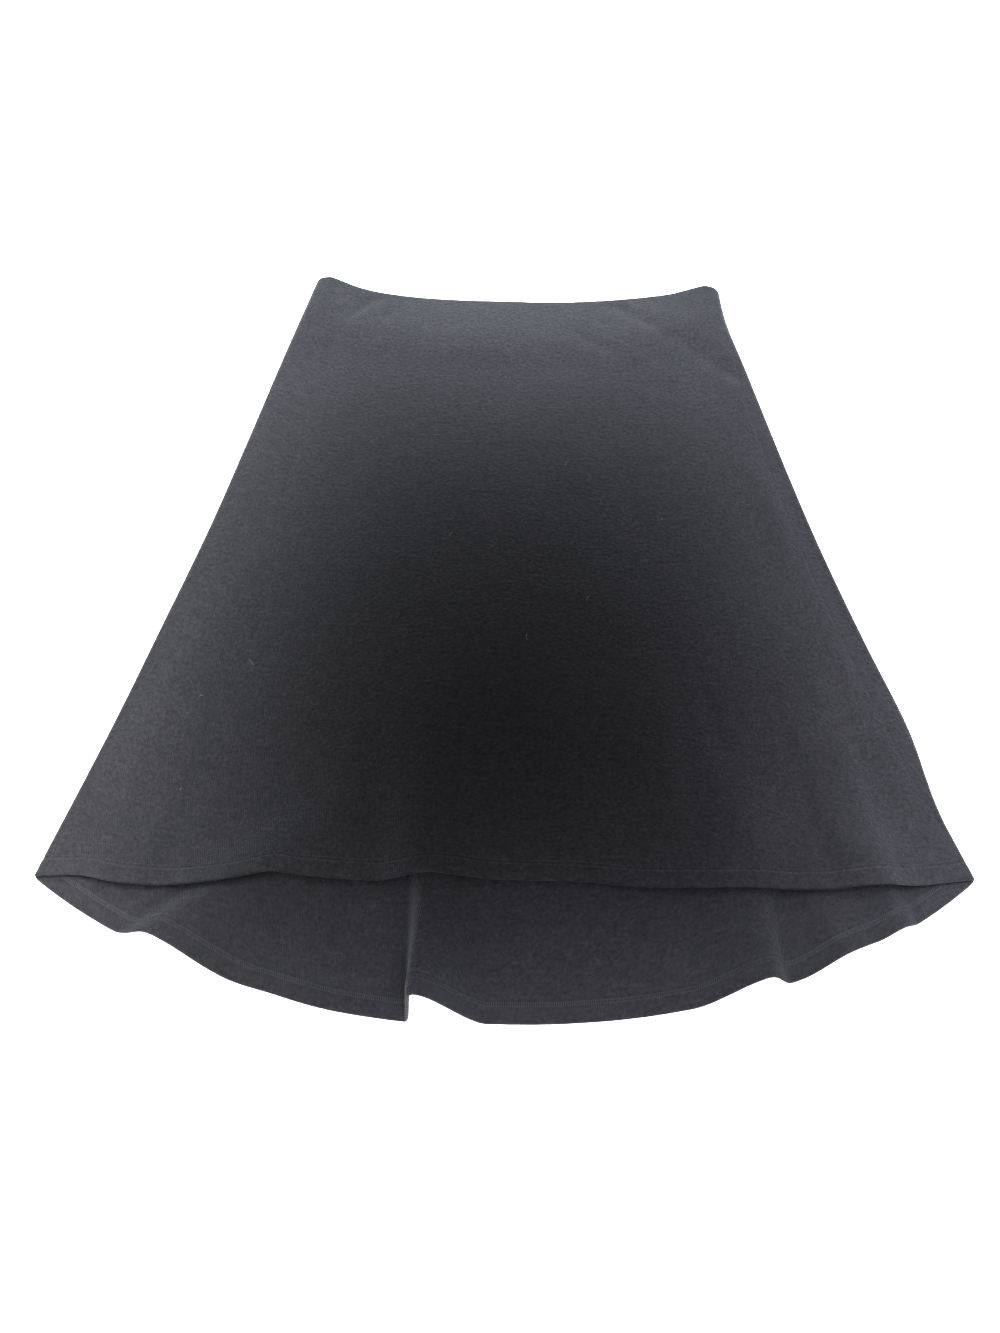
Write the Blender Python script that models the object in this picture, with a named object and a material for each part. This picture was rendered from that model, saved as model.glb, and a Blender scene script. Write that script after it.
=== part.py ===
"""A knitted midi skirt laid flat: a pull-on A-line with an elasticated waistband inside its waist, and a
hem cut deeper at the back than at the front.

Metres, +Z up. The skirt lies on its back on the floor at Z = 0, with its waist towards +Y and its front
uppermost. The origin is on the floor, in the middle of the laid outline.

Places on the laid skirt are given as a tailor gives them: x is the distance across from the centre line,
and down is the distance down from the level of the waist's corners.
"""

import math
from collections import namedtuple

import bmesh
import bpy
import numpy as np

# Cloth
CLOTH = 0.0016
TURNED_HEM = 0.0026
BAND = 0.0018
GAP = 0.0003
SEAM_GAP = 0.0005

# Lengths, from the level of the waist's corners
WAIST_DOWN = 0.025
LEFT_WAIST_DOWN = 0.000
RIGHT_WAIST_DOWN = 0.003
FRONT_HEM_DOWN = 0.612
BACK_HEM_DOWN = 0.715
LEFT_SIDE_DOWN = 0.616
RIGHT_SIDE_DOWN = 0.603

# The waistband, the step in the front panel below it, and the turned-up hem
BAND_DEPTH = 0.042
BAND_STEP = 0.030
HEM_DEPTH = 0.018
HEM_STEP = 0.002

# How each edge curves between the centre line and the sides
LEFT_WAIST_CURVE = 3.2
RIGHT_WAIST_CURVE = 2.5
WAIST_CORNER = 0.93
CORNER_ROUNDING = 0.004
CORNER_CURVE = 30.0
BACK_HEM_CURVE = 2.3
LEFT_FRONT_HEM_CURVE = 2.0
RIGHT_FRONT_HEM_CURVE = 6.0

# The front swells beside its side folds, its hem stands off the back, and it lies easily over folds
SIDE_SWELL = 0.045
HEM_LIFT = 0.0042
HEM_LIFT_REACH = 0.110
COVER_EASE = 0.016
COVER_REACH = 0.035
COVER_LIFT = 0.0014
COVER_LIFT_HEIGHT = 0.0020

# Mesh density
BROAD_STEP = 0.030
FOLD_STEP = 0.0085
COVER_STEP = 0.0120
DEEP_FOLD_STEP = 0.0046
LEAST_STEP = 0.0030
ROWS = 13
ROW_CROWDING = 2.0
LEFT_TURN_COLUMNS = 3
RIGHT_TURN_COLUMNS = 6
SWELL_COLUMNS = 6
SWELL_CROWDING = 1.6
END_TRIES = 3

# Rows of points that the waistband and the turned-up hem take from their panel, and the columns beside
# each seam where the hem is thin
BAND_ROWS = 3
HEM_ROWS = 3
HEM_TAPER = 4

# Finish
SHARP_EDGE = 40.0
JERSEY_COLOUR = (0.013, 0.013, 0.015)
JERSEY_ROUGHNESS = 0.92
BAND_COLOUR = (0.010, 0.010, 0.011)
BAND_ROUGHNESS = 0.85

LEFT, RIGHT = -1, 1

# The laid outline. left and right are the distances from the centre line to the side folds, turn is the
# outer radius of both folds, and roll is how far the right seam has rolled round on to the front.
Side = namedtuple("Side", "down left right turn roll")
SIDES = (
    Side(0.000, 0.1900, 0.1845, 0.0058, 0.000),
    Side(0.050, 0.2005, 0.1900, 0.0056, 0.004),
    Side(0.100, 0.2115, 0.2020, 0.0044, 0.011),
    Side(0.200, 0.2315, 0.2245, 0.0037, 0.016),
    Side(0.300, 0.2520, 0.2480, 0.0035, 0.018),
    Side(0.400, 0.2760, 0.2755, 0.0034, 0.019),
    Side(0.480, 0.2955, 0.2985, 0.0033, 0.019),
    Side(0.555, 0.3155, 0.3150, 0.0032, 0.008),
    Side(0.600, 0.3280, 0.3290, 0.0031, 0.000),
    Side(0.730, 0.3600, 0.3620, 0.0031, 0.000),
)

# The back panel's standing folds. The crest runs from hem_x, hem_down at the hem to top_x, top_down where
# it dies away. left and right are its half widths, height and under its heights at its hem and where the
# front hem crosses it, lean is how far the crest leans to the left, and pull how far it draws the hem up.
# step is the spacing of the columns that shape it.
Fold = namedtuple("Fold", "name hem_x hem_down top_x top_down left right height under lean pull step")
FOLDS = (
    Fold("left", -0.252, 0.662, -0.108, 0.560, 0.022, 0.026, 0.0120, 0.0090, 0.003, 0.008, FOLD_STEP),
    Fold("deep", -0.049, 0.715, -0.060, 0.430, 0.017, 0.036, 0.0260, 0.0090, 0.012, 0.007, DEEP_FOLD_STEP),
    Fold("right", 0.176, 0.690, 0.158, 0.500, 0.036, 0.018, 0.0110, 0.0060, -0.006, 0.009, FOLD_STEP),
    Fold("corner", 0.281, 0.638, 0.246, 0.545, 0.016, 0.015, 0.0060, 0.0045, -0.002, 0.001, FOLD_STEP),
)

# Soft lengthwise waves of the front panel, above its plain level
Wave = namedtuple("Wave", "name hem_x top_x top_down half_width height")
WAVES = (
    Wave("left", -0.272, -0.205, 0.230, 0.034, 0.0022),
    Wave("inner_left", -0.118, -0.092, 0.420, 0.030, 0.0012),
    Wave("inner_right", 0.112, 0.094, 0.330, 0.030, 0.0016),
    Wave("right", 0.254, 0.196, 0.300, 0.024, 0.0030),
)

# A column of a panel's mesh. Where side is 0, place goes from -1 to 1 over the flat middle of the panel,
# and elsewhere it is the share of the way round that side's fold.
Column = namedtuple("Column", "side place")


def smooth(share):
    """An even rise from 0 to 1 as the share goes from 0 to 1."""
    share = np.clip(share, 0.0, 1.0)
    return share * share * (3.0 - 2.0 * share)


def side_size(name, down):
    """One column of the outline's table, on a smooth curve, carried on straight past its ends."""
    places = np.array([row.down for row in SIDES])
    values = np.array([getattr(row, name) for row in SIDES])
    slopes = np.gradient(values, places)
    row = np.clip(np.searchsorted(places, down) - 1, 0, len(places) - 2)
    step = places[row + 1] - places[row]
    share = (down - places[row]) / step
    inside = np.clip(share, 0.0, 1.0)
    rise = smooth(inside)
    leave = inside * (1.0 - inside) ** 2 * slopes[row]
    arrive = inside**2 * (inside - 1.0) * slopes[row + 1]
    curve = values[row] + rise * (values[row + 1] - values[row]) + step * (leave + arrive)
    end_slope = np.where(share > 1.0, slopes[row + 1], slopes[row])
    return curve + (share - inside) * step * end_slope


def half_width(side, down):
    """Distance from the centre line to a side fold."""
    return side_size("left" if side == LEFT else "right", down)


def across_at(x, down):
    """How far across a place lies: -1 at the left side fold, 0 at the centre line, 1 at the right."""
    edge = np.where(x < 0.0, half_width(LEFT, down), half_width(RIGHT, down))
    return np.clip(x / edge, -1.0, 1.0)


def waist_down(across):
    """The waist edge."""
    side = np.where(across < 0.0, LEFT_WAIST_DOWN, RIGHT_WAIST_DOWN)
    curve = np.where(across < 0.0, LEFT_WAIST_CURVE, RIGHT_WAIST_CURVE)
    inner = np.minimum(np.abs(across) / WAIST_CORNER, 1.0)
    corner = CORNER_ROUNDING * np.abs(across) ** CORNER_CURVE
    return WAIST_DOWN - (WAIST_DOWN - side) * inner**curve + corner


def back_hem_down(across):
    """The back hem, before its folds stand up."""
    side = np.where(across < 0.0, LEFT_SIDE_DOWN, RIGHT_SIDE_DOWN)
    return BACK_HEM_DOWN - (BACK_HEM_DOWN - side) * np.abs(across) ** BACK_HEM_CURVE


def front_hem_down(across):
    """The front hem."""
    left = (LEFT_SIDE_DOWN - FRONT_HEM_DOWN) * np.abs(across) ** LEFT_FRONT_HEM_CURVE
    right = (RIGHT_SIDE_DOWN - FRONT_HEM_DOWN) * np.abs(across) ** RIGHT_FRONT_HEM_CURVE
    return FRONT_HEM_DOWN + np.where(across < 0.0, left, right)


def fold_shape(fold, x, down, ease=0.0, reach=0.0):
    """A fold's crest height level with a place, and the share of it that the place has. ease widens the
    fold and reach lengthens it."""
    run_x, run_down = fold.top_x - fold.hem_x, fold.top_down - fold.hem_down
    length = math.hypot(run_x, run_down)
    along = ((x - fold.hem_x) * run_x + (down - fold.hem_down) * run_down) / length
    beside = ((x - fold.hem_x) * -run_down + (down - fold.hem_down) * run_x) / length
    crossing = (FRONT_HEM_DOWN - fold.hem_down) / run_down * length
    height = np.where(
        along < crossing,
        fold.height + (fold.under - fold.height) * smooth(along / crossing),
        fold.under * (1.0 - smooth((along - crossing) / (length + reach - crossing))),
    )
    half = np.where(beside < 0.0, fold.left, fold.right) + ease
    share = np.where(np.abs(beside) < half, 0.5 + 0.5 * np.cos(math.pi * beside / half), 0.0)
    return height, share


def folded(x, down):
    """Where the back panel's outer face lies once its folds stand up: x, down and height."""
    across, up, height = np.zeros_like(x), np.zeros_like(x), np.zeros_like(x)
    for fold in FOLDS:
        crest, share = fold_shape(fold, x, down)
        grown = crest / fold.height
        across -= fold.lean * grown * share
        up += fold.pull * grown**2 * share
        height += crest * share
    return x + across, down - up, height


def front_height(x, down):
    """Height of the front panel's outer face above the floor."""
    edge = np.where(x < 0.0, half_width(LEFT, down), half_width(RIGHT, down))
    across = across_at(x, down)
    plain, banded = 2 * CLOTH + GAP, 2 * CLOTH + 2 * BAND + 3 * GAP
    level = banded + (plain - banded) * smooth((down - waist_down(across) - BAND_DEPTH) / BAND_STEP)
    level = level + HEM_LIFT * (1.0 - smooth((front_hem_down(across) - down) / HEM_LIFT_REACH))
    for fold in FOLDS:
        ease = COVER_EASE + 0.5 * abs(fold.lean)
        crest, share = fold_shape(fold, x + 0.5 * fold.lean, down, ease, COVER_REACH)
        level = level + (crest + COVER_LIFT * smooth(crest / COVER_LIFT_HEIGHT)) * share
    for wave in WAVES:
        run = (down - wave.top_down) / (FRONT_HEM_DOWN - wave.top_down)
        centre = wave.top_x + (wave.hem_x - wave.top_x) * run
        bump = 1.0 - ((x - centre) / wave.half_width) ** 2
        level = level + wave.height * smooth(run) * smooth(bump)
    turn = side_size("turn", down)
    beside = (edge - turn - np.abs(x)) / SIDE_SWELL
    return level + (2 * turn - level) * (1.0 - smooth(beside))


def round_side(side, down, run):
    """The outer face a run round the side fold from the floor: x and height."""
    edge, turn = half_width(side, down), side_size("turn", down)
    angle = np.clip(run / turn, 0.0, math.pi)
    past = np.maximum(run - math.pi * turn, 0.0)
    x = side * (edge - turn + turn * np.sin(angle) - past)
    return x, np.where(past > 0.0, front_height(x, down), turn * (1.0 - np.cos(angle)))


def seam_run(side, down):
    """The run round the side fold from the floor to the side seam."""
    quarter = math.pi * side_size("turn", down) / 2
    return quarter + (side_size("roll", down) if side == RIGHT else 0.0)


def middle_x(place, down, margin):
    """x of a column in the middle of a panel, between margins beside its side folds."""
    side = LEFT if place < 0.0 else RIGHT
    return place * (half_width(side, down) - side_size("turn", down) - margin)


def back_flat(column, down):
    """One column of the back panel's outer face, before its folds stand up: x and height."""
    if not column.side:
        return middle_x(column.place, down, 0.0), np.zeros_like(down)
    return round_side(column.side, down, column.place * (seam_run(column.side, down) - SEAM_GAP / 2))


def back_column(column, down):
    """One column of the back panel's outer face: x, down and height."""
    x, height = back_flat(column, down)
    return (x, down, height) if column.side else folded(x, down)


def front_flat(column, down):
    """One column of the front panel's outer face: x and height."""
    if not column.side:
        x = middle_x(column.place, down, SIDE_SWELL)
        return x, front_height(x, down)
    seam = seam_run(column.side, down) + SEAM_GAP / 2
    inner = math.pi * side_size("turn", down) + SIDE_SWELL
    return round_side(column.side, down, seam + column.place * (inner - seam))


def front_column(column, down):
    """One column of the front panel's outer face: x, down and height."""
    x, height = front_flat(column, down)
    return x, down, height


def middle_places(folds, step=None):
    """Places from -1 to 1, a broad step apart, and closer where folds need them. A step given here
    holds for every fold."""
    widest = SIDES[-2].left
    found = list(np.linspace(-1.0, 1.0, round(2 * widest / BROAD_STEP) + 1))
    for fold in folds:
        hem, top = fold.hem_x / half_width(LEFT, fold.hem_down), fold.top_x / half_width(LEFT, fold.top_down)
        low = min(hem, top) - fold.left / widest
        high = max(hem, top) + fold.right / widest
        found = [place for place in found if not low <= place <= high]
        found += list(np.linspace(low, high, round((high - low) * widest / (step or fold.step)) + 1))
    kept = [-1.0]
    for place in sorted(found):
        if place - kept[-1] > LEAST_STEP / widest and place < 1.0 - LEAST_STEP / widest:
            kept.append(place)
    return kept + [1.0]


def back_columns():
    """The back panel's columns from the left seam to the right seam, with one more past each seam."""
    left = [step / LEFT_TURN_COLUMNS for step in range(LEFT_TURN_COLUMNS + 1, 0, -1)]
    right = [step / RIGHT_TURN_COLUMNS for step in range(1, RIGHT_TURN_COLUMNS + 2)]
    return (
        [Column(LEFT, place) for place in left]
        + [Column(0, place) for place in middle_places(FOLDS)]
        + [Column(RIGHT, place) for place in right]
    )


def front_columns():
    """The front panel's columns from the left seam to the right seam, with one more past each seam."""
    sides = [(step / SWELL_COLUMNS) ** SWELL_CROWDING for step in range(SWELL_COLUMNS)]
    sides = [-sides[1], *sides]
    return (
        [Column(LEFT, place) for place in sides]
        + [Column(0, place) for place in middle_places(FOLDS[:3], COVER_STEP)]
        + [Column(RIGHT, place) for place in reversed(sides)]
    )


def rows_down(length):
    """Distances below the waist edge, with rows at the band's edges, closer ones towards the hem, and
    rows at the turned-up hem."""
    first, last = BAND_DEPTH + BAND_STEP, length - HEM_DEPTH - HEM_STEP
    shares = 1.0 - (1.0 - np.arange(1, ROWS) / ROWS) ** ROW_CROWDING
    waist = [0.0, BAND_DEPTH / 2, BAND_DEPTH, BAND_DEPTH + BAND_STEP / 2, first]
    hem = [last, length - HEM_DEPTH, length - HEM_DEPTH / 2, length]
    return np.array([*waist, *(first + shares * (last - first)), *hem])


def column_down(column, flat, hem_down):
    """Distances down of a column's points, from the waist edge to the hem."""
    ends = []
    for edge_down, level in ((waist_down, 0.0), (hem_down, FRONT_HEM_DOWN)):
        level = np.array([level])
        for _ in range(END_TRIES):
            level = edge_down(across_at(flat(column, level)[0], level))
        ends.append(level[0])
    return ends[0] + rows_down(ends[1] - ends[0])


def panel_face(columns, flat, shaped, hem_down, side_up):
    """A panel's outer face as rows of points, and the unit normals that point into the skirt. side_up is
    1 for the panel that lies underneath, whose inner side faces up, and -1 for the one on top."""
    points = []
    for column in columns:
        x, down, height = shaped(column, column_down(column, flat, hem_down))
        points.append(np.stack([x, -down, height], axis=-1))
    points = np.stack(points, axis=1)
    normals = side_up * np.cross(np.gradient(points, axis=0), np.gradient(points, axis=1))
    normals /= np.linalg.norm(normals, axis=2, keepdims=True)
    return points[:, 1:-1], normals[:, 1:-1]


def wall(name, outer, inner, colour, roughness):
    """A closed wall between two faces that have the same rows and columns of points."""
    rows, columns = outer.shape[:2]
    mesh = bmesh.new()
    sheets = [[[mesh.verts.new(point) for point in row] for row in face] for face in (outer, inner)]
    for sheet in sheets:
        for near, far in zip(sheet, sheet[1:]):
            for column in range(columns - 1):
                mesh.faces.new((near[column], near[column + 1], far[column + 1], far[column]))
    rim = [(0, column) for column in range(columns - 1)]
    rim += [(row, columns - 1) for row in range(rows - 1)]
    rim += [(rows - 1, column) for column in range(columns - 1, 0, -1)]
    rim += [(row, 0) for row in range(rows - 1, 0, -1)]
    for here, there in zip(rim, rim[1:] + rim[:1]):
        low = [sheet[here[0]][here[1]] for sheet in sheets]
        high = [sheet[there[0]][there[1]] for sheet in sheets]
        mesh.faces.new((low[0], high[0], high[1], low[1]))
    bmesh.ops.recalc_face_normals(mesh, faces=mesh.faces)
    data = bpy.data.meshes.new(name)
    mesh.to_mesh(data)
    mesh.free()
    data.shade_smooth()
    data.set_sharp_from_angle(angle=math.radians(SHARP_EDGE))
    data.materials.append(cloth_material(name, colour, roughness))
    bpy.context.scene.collection.objects.link(bpy.data.objects.new(name, data))


def cloth_material(name, colour, roughness):
    """A plain matt material for one piece."""
    material = bpy.data.materials.new(name)
    material.use_nodes = True
    shader = material.node_tree.nodes["Principled BSDF"]
    shader.inputs["Base Color"].default_value = (*colour, 1.0)
    shader.inputs["Roughness"].default_value = roughness
    shader.inputs["Metallic"].default_value = 0.0
    return material


def panel_and_band(name, face, normals, origin):
    """A panel with its turned-up hem, which thins out at the side seams, and the waistband that lies
    against the panel's inner side."""
    outer = face - origin
    depth = np.full((*face.shape[:2], 1), CLOTH)
    depth[-HEM_ROWS:, HEM_TAPER:-HEM_TAPER] = TURNED_HEM
    wall(f"{name}_panel", outer, outer + depth * normals, JERSEY_COLOUR, JERSEY_ROUGHNESS)
    top, inward = outer[:BAND_ROWS], normals[:BAND_ROWS]
    near, far = CLOTH + GAP, CLOTH + GAP + BAND
    wall(f"{name}_waistband", top + near * inward, top + far * inward, BAND_COLOUR, BAND_ROUGHNESS)


def main():
    for item in list(bpy.data.objects):
        bpy.data.objects.remove(item)
    back, back_inward = panel_face(back_columns(), back_flat, back_column, back_hem_down, 1.0)
    front, front_inward = panel_face(front_columns(), front_flat, front_column, front_hem_down, -1.0)
    low = np.minimum(back.min(axis=(0, 1)), front.min(axis=(0, 1)))
    high = np.maximum(back.max(axis=(0, 1)), front.max(axis=(0, 1)))
    origin = np.array([(low[0] + high[0]) / 2, (low[1] + high[1]) / 2, low[2]])
    panel_and_band("back", back, back_inward, origin)
    panel_and_band("front", front, front_inward, origin)


main()
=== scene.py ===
"""The looks of a knitted midi skirt laid flat: a pull-on A-line in black double-knit jersey, with its
waistband elastic inside the waist and a hem cut deeper at the back than at the front.

Metres, +Z up. x is the distance across from the centre line, and down is the distance down from the level
of the waist's corners, as a tailor measures them.
"""

import math
from collections import namedtuple

import bmesh
import bpy
import numpy as np
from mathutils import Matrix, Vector, noise


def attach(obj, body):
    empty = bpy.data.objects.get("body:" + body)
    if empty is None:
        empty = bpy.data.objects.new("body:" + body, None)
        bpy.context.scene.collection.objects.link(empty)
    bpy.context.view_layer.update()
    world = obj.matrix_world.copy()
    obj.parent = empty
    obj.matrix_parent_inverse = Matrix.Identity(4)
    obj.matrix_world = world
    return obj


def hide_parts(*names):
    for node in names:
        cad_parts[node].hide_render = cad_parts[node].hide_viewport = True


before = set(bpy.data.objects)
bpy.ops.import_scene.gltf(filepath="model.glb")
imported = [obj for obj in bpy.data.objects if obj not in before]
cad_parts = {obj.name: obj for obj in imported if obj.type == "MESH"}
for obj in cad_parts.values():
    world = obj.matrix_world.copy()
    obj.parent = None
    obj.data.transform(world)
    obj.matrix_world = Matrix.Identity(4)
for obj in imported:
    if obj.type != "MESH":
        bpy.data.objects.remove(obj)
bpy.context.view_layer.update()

bl_info = {
    "name": "Knitted midi skirt, laid flat",
    "version": (1, 0, 0),
    "blender": (4, 5, 0),
    "location": "3D View > Sidebar > Skirt",
    "description": "Builds the cloth, sewing and studio of a knitted midi skirt that lies flat",
    "category": "Add Mesh",
}

# The photographer's frame and camera
FRAME_HEIGHT = 1333.0
FOCAL_PIXELS = 1450.0
SENSOR = 36.0
CAMERA_HEIGHT = 0.932
CAMERA_PITCH = 56.0
CAMERA_TURN = 1.4
CAMERA_FOOT = (0.008, -1.056)

# Where the frame's origin lies on the skirt
Origin = namedtuple("Origin", "x down")
ORIGIN = Origin(-0.00117, 0.35799)

# Lengths of the laid skirt, from the level of the waist's corners
WAIST_DOWN = 0.025
LEFT_WAIST_DOWN = -0.002
RIGHT_WAIST_DOWN = 0.001
FRONT_HEM_DOWN = 0.612
BACK_HEM_DOWN = 0.715
LEFT_SIDE_DOWN = 0.616
RIGHT_SIDE_DOWN = 0.603

# The waistband, the step in the front panel below it, and the turned-up hem
BAND_DEPTH = 0.042
BAND_STEP = 0.048
HEM_DEPTH = 0.0165
HEM_STEP = 0.0040

# How each edge curves between the centre line and the sides
LEFT_WAIST_CURVE = 3.2
RIGHT_WAIST_CURVE = 2.5
WAIST_CORNER = 0.93
LEFT_CORNER_ROUNDING = 0.005
RIGHT_CORNER_ROUNDING = 0.009
CORNER_CURVE = 26.0
LEFT_BACK_HEM_CURVE = 2.10
RIGHT_BACK_HEM_CURVE = 2.05
LEFT_FRONT_HEM_CURVE = 2.0
RIGHT_FRONT_HEM_CURVE = 6.0

# The solid frame's cloth, which the shells lie in
FRAME_CLOTH = 0.0016
FRAME_BAND = 0.0018
FRAME_GAP = 0.0003

# The front swells beside its side folds, its hem stands off the back, and it lies easily over folds
SIDE_SWELL = 0.045
HEM_LIFT = 0.0042
HEM_LIFT_REACH = 0.110
COVER_EASE = 0.016
COVER_REACH = 0.035
COVER_LIFT = 0.0014
COVER_LIFT_HEIGHT = 0.0020

# The side seam's groove
SEAM_GAP = 0.0001
SEAM_GROOVE = 0.0003
SEAM_GROOVE_WIDTH = 0.0040

# Unevenness of cloth that has been laid down and smoothed by hand
BROAD_WAVE = 0.085
BROAD_WAVE_HEIGHT = 0.0011
SMALL_WAVE = 0.026
SMALL_WAVE_HEIGHT = 0.00022
NOISE_SEED = 7.3

# Mesh density of the shells
FRONT_STEP = 0.0031
BACK_STEP = 0.0034
DEEP_FOLD_STEP = 0.0016
LEAST_STEP = 0.0008
SIDE_STEPS = 24
LEFT_TURN_STEPS = 7
RIGHT_TURN_STEPS = 18
SIDE_CROWDING = 1.8
EDGE_STEPS = 4
FRONT_ROW_STEP = 0.0033
COVERED_ROW_STEP = 0.0068
END_TRIES = 3

LEFT, RIGHT = -1, 1

# The laid outline. left and right are the distances from the centre line to the side folds, turn is the
# outer radius of both folds, and roll is how far the right seam has rolled round on to the front.
Side = namedtuple("Side", "down left right turn roll")
SIDES = (
    Side(0.000, 0.1900, 0.1845, 0.0058, 0.000),
    Side(0.050, 0.2005, 0.1900, 0.0056, 0.004),
    Side(0.100, 0.2115, 0.2020, 0.0044, 0.011),
    Side(0.200, 0.2315, 0.2245, 0.0037, 0.016),
    Side(0.300, 0.2520, 0.2480, 0.0035, 0.018),
    Side(0.400, 0.2760, 0.2755, 0.0034, 0.019),
    Side(0.480, 0.2955, 0.2995, 0.0033, 0.019),
    Side(0.555, 0.3155, 0.3138, 0.0032, 0.008),
    Side(0.600, 0.3280, 0.3290, 0.0031, 0.000),
    Side(0.730, 0.3600, 0.3620, 0.0031, 0.000),
)

# Where a hem dips below its plain line: how far across it lies, its half width and its depth
Dip = namedtuple("Dip", "across half_width depth")
BACK_HEM_DIPS = (Dip(-0.24, 0.22, 0.0025),)
FRONT_HEM_DIPS = (
    Dip(-0.70, 0.22, 0.0085),
    Dip(-0.33, 0.18, 0.0035),
    Dip(0.55, 0.42, 0.0050),
)

# The back panel's standing folds. The crest runs from hem_x, hem_down at the hem to top_x, top_down where
# it dies away. left and right are its half widths, height and under its heights at its hem and where the
# front hem crosses it, lean is how far the crest leans to the left, and pull how far it draws the hem up.
Fold = namedtuple("Fold", "name hem_x hem_down top_x top_down left right height under lean pull")
FOLDS = (
    Fold("left", -0.240, 0.668, -0.108, 0.560, 0.030, 0.060, 0.0095, 0.0070, 0.001, 0.008),
    Fold("deep", -0.047, 0.715, -0.060, 0.430, 0.018, 0.037, 0.0260, 0.0090, 0.012, 0.010),
    Fold("right", 0.175, 0.690, 0.158, 0.500, 0.050, 0.022, 0.0085, 0.0055, -0.004, 0.007),
    Fold("broad", 0.238, 0.664, 0.206, 0.560, 0.040, 0.055, 0.0035, 0.0030, 0.000, 0.004),
    Fold("corner", 0.272, 0.642, 0.240, 0.545, 0.018, 0.017, 0.0048, 0.0040, -0.002, 0.002),
)

# Soft lengthwise waves of the front panel, above its plain level
Wave = namedtuple("Wave", "name hem_x top_x top_down half_width height")
WAVES = (
    Wave("left", -0.272, -0.205, 0.230, 0.034, 0.0022),
    Wave("inner_left", -0.118, -0.092, 0.420, 0.030, 0.0012),
    Wave("inner_right", 0.112, 0.094, 0.330, 0.030, 0.0016),
    Wave("right", 0.254, 0.196, 0.300, 0.026, 0.0024),
)

# Creases: soft troughs (below zero) and ridges (above zero) along a bowed line from one place to another
Crease = namedtuple("Crease", "x0 down0 x1 down1 bow width height")
FRONT_CREASES = (
    Crease(-0.126, 0.020, -0.160, 0.052, 0.003, 0.0065, -0.0024),
    Crease(-0.113, 0.038, -0.126, 0.054, 0.001, 0.0045, -0.0012),
    Crease(-0.166, 0.040, -0.186, 0.074, 0.002, 0.0090, -0.0008),
    Crease(0.082, 0.028, 0.126, 0.058, -0.003, 0.0065, -0.0024),
    Crease(0.124, 0.060, 0.172, 0.086, 0.001, 0.0080, -0.0018),
    Crease(0.160, 0.078, 0.200, 0.122, 0.002, 0.0080, -0.0028),
    Crease(0.112, 0.030, 0.164, 0.052, 0.002, 0.0090, 0.0010),
    Crease(0.048, 0.062, 0.092, 0.088, 0.002, 0.0060, -0.0014),
    Crease(0.096, 0.084, 0.150, 0.120, 0.003, 0.0120, 0.0009),
    Crease(-0.205, 0.074, -0.165, 0.076, 0.002, 0.0090, 0.0005),
    Crease(-0.090, 0.088, 0.010, 0.084, 0.003, 0.0100, 0.0005),
    Crease(0.206, 0.190, 0.242, 0.320, -0.003, 0.0090, -0.0013),
    Crease(0.238, 0.300, 0.276, 0.470, -0.003, 0.0090, -0.0012),
    Crease(0.190, 0.200, 0.226, 0.330, -0.004, 0.0110, 0.0009),
    Crease(0.222, 0.330, 0.244, 0.470, -0.002, 0.0110, 0.0009),
    Crease(0.240, 0.460, 0.278, 0.606, 0.004, 0.0120, 0.0008),
    Crease(0.262, 0.490, 0.300, 0.596, 0.003, 0.0100, -0.0009),
    Crease(0.145, 0.440, 0.170, 0.534, 0.002, 0.0080, -0.0010),
    Crease(0.130, 0.512, 0.133, 0.556, 0.000, 0.0060, -0.0006),
    Crease(-0.065, 0.370, -0.060, 0.445, 0.001, 0.0060, -0.0006),
    Crease(-0.214, 0.330, -0.292, 0.575, 0.004, 0.0130, 0.0009),
    Crease(-0.236, 0.330, -0.306, 0.560, 0.004, 0.0100, -0.0006),
    Crease(0.060, 0.150, 0.112, 0.300, 0.006, 0.0140, -0.0006),
    Crease(-0.140, 0.130, -0.160, 0.330, -0.006, 0.0160, -0.0006),
    Crease(0.010, 0.450, 0.024, 0.600, 0.004, 0.0140, -0.0006),
)
BACK_CREASES = (
    Crease(-0.225, 0.612, -0.262, 0.646, 0.002, 0.0050, 0.0016),
    Crease(-0.120, 0.618, -0.136, 0.702, 0.003, 0.0120, 0.0014),
    Crease(0.045, 0.612, 0.058, 0.712, 0.002, 0.0140, 0.0012),
    Crease(0.098, 0.612, 0.118, 0.704, -0.002, 0.0110, 0.0016),
    Crease(0.214, 0.612, 0.232, 0.664, 0.001, 0.0090, 0.0014),
    Crease(-0.292, 0.616, -0.300, 0.640, 0.001, 0.0060, 0.0012),
)

# A column of a panel's mesh. Where side is 0, place goes from -1 to 1 over the flat middle of the panel,
# and elsewhere it is the share of the way round that side's fold.
Column = namedtuple("Column", "side place")

# A panel's outer face: rows of points, inward normals, places on the flat cloth, and distances from the
# waist edge and from the hem
Face = namedtuple("Face", "points inward flat from_waist from_hem")


def linear(colour):
    """Turns an sRGB hex colour into linear red, green and blue."""
    shares = [int(colour[place : place + 2], 16) / 255.0 for place in (0, 2, 4)]
    return [share / 12.92 if share <= 0.04045 else ((share + 0.055) / 1.055) ** 2.4 for share in shares]


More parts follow.
